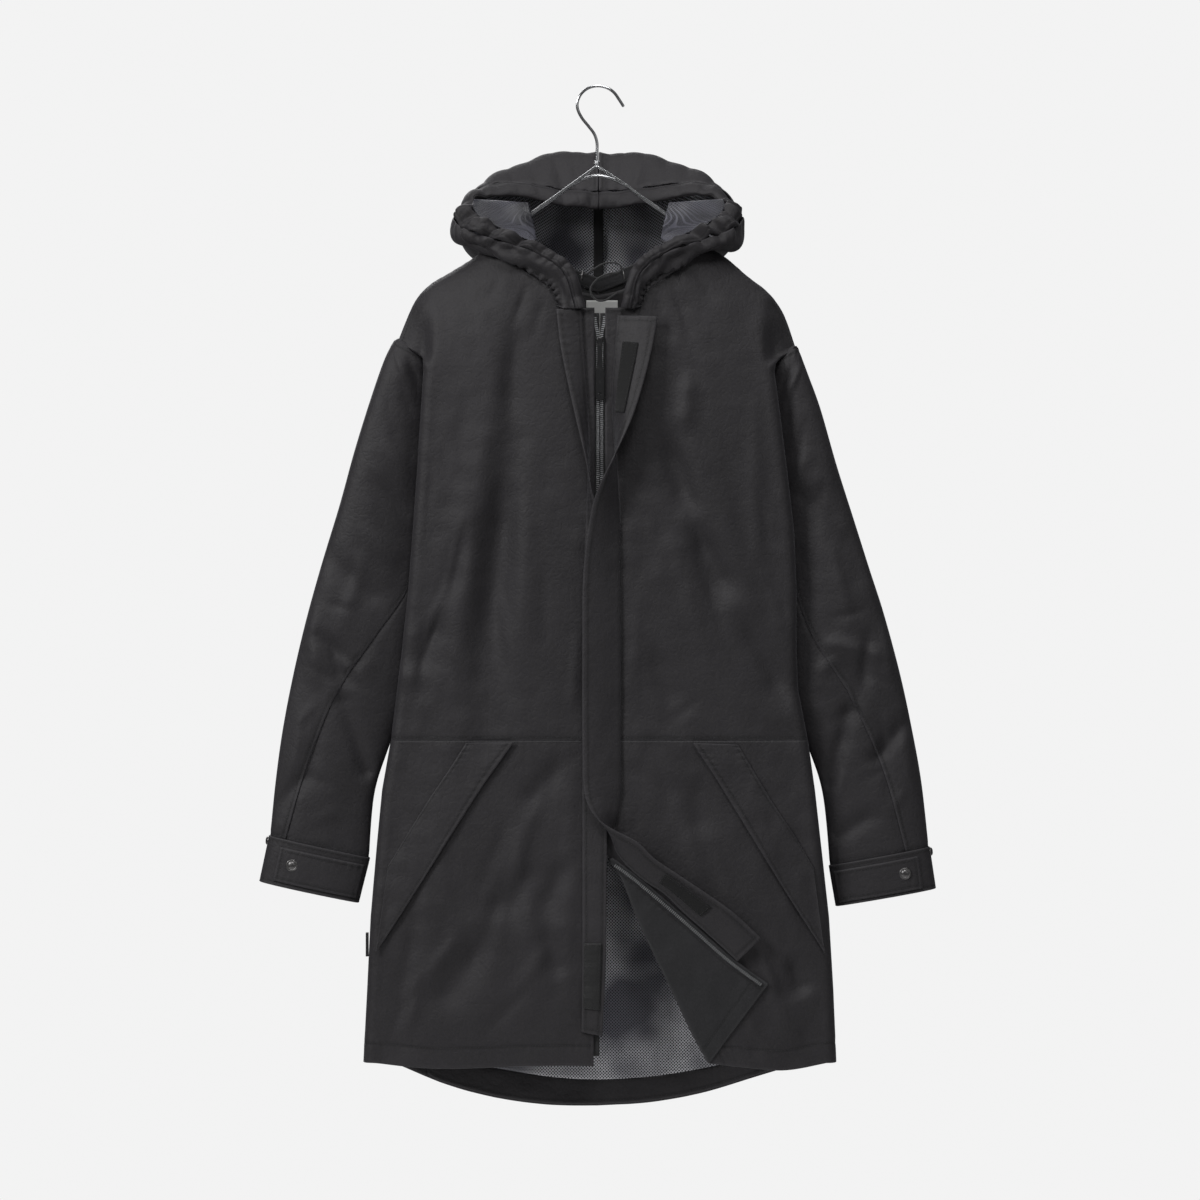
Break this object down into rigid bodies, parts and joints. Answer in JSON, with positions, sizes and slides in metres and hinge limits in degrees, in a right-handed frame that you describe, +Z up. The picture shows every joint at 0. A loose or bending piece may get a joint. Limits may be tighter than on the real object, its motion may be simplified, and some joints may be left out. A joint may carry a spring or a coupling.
{
  "type": "parka on a wire hanger",
  "caption": "Hooded hip-length work parka that hangs by the hook of a wire hanger, with storm flaps over a front zip, slanted pocket flaps and a gathered hood.",
  "frame": {"origin": "underside of the hook's crown, where it hangs on a rail", "axes": "+Z up, +X to the viewer's right, the front of the parka faces -Y"},
  "size_m": [0.7785, 0.2063, 1.1794],
  "materials": {
    "shell_cloth": "fine plain weave, matt, charcoal black",
    "net_lining": "fine knitted net, grey over dark",
    "tape": "woven tape, near black",
    "steel": "bright polished",
    "white_cloth": "smooth white woven cloth, blank",
    "cord": "round braided cord, black"
  },
  "bodies": {
    "parka": {"front_upper_left": "shell_cloth", "front_upper_right": "shell_cloth", "front_lower_left": "shell_cloth", "front_lower_right": "shell_cloth", "back_panel": "shell_cloth", "sleeve_top_left": "shell_cloth", "sleeve_top_right": "shell_cloth", "sleeve_under_left": "shell_cloth", "sleeve_under_right": "shell_cloth", "cuff_left": "shell_cloth", "cuff_right": "shell_cloth", "cuff_tab_left": "shell_cloth", "cuff_tab_right": "shell_cloth", "pocket_flap_left": "shell_cloth", "pocket_flap_right": "shell_cloth", "storm_flap": "shell_cloth", "under_flap": "shell_cloth", "hood_shell_left": "shell_cloth", "hood_shell_right": "shell_cloth", "hood_rim_left": "shell_cloth", "hood_rim_right": "shell_cloth", "back_lining": "net_lining", "hood_lining_left": "net_lining", "hood_lining_right": "net_lining", "hood_lapel_left": "net_lining", "hood_lapel_right": "net_lining", "back_hem_facing": "tape", "front_corner_facing": "tape", "zip_tape_left": "tape", "zip_tape_right": "tape", "hood_seam_tape": "tape", "neck_facing": "tape", "fastening_tape_top": "tape", "fastening_tape_foot": "tape", "fastening_tape_under": "tape", "zip_slider": "steel", "zip_slider_lower": "steel", "cuff_snap_left": "steel", "cuff_snap_right": "steel", "eyelet_left": "steel", "eyelet_right": "steel", "hanger_hook": "steel", "hanger_knot": "steel", "hanger_arms": "steel", "neck_label": "white_cloth", "side_tab": "white_cloth", "drawcord": "cord"},
    "zip_pull": {"zip_pull": "steel"}
  },
  "joints": [
    {"name": "zip_pull_swing", "type": "hinge", "parent": "parka", "child": "zip_pull", "pos_m": [0.0015, -0.04456, -0.292], "axis": [1, 0, 0], "range_deg": [-150, 0]}
  ]
}
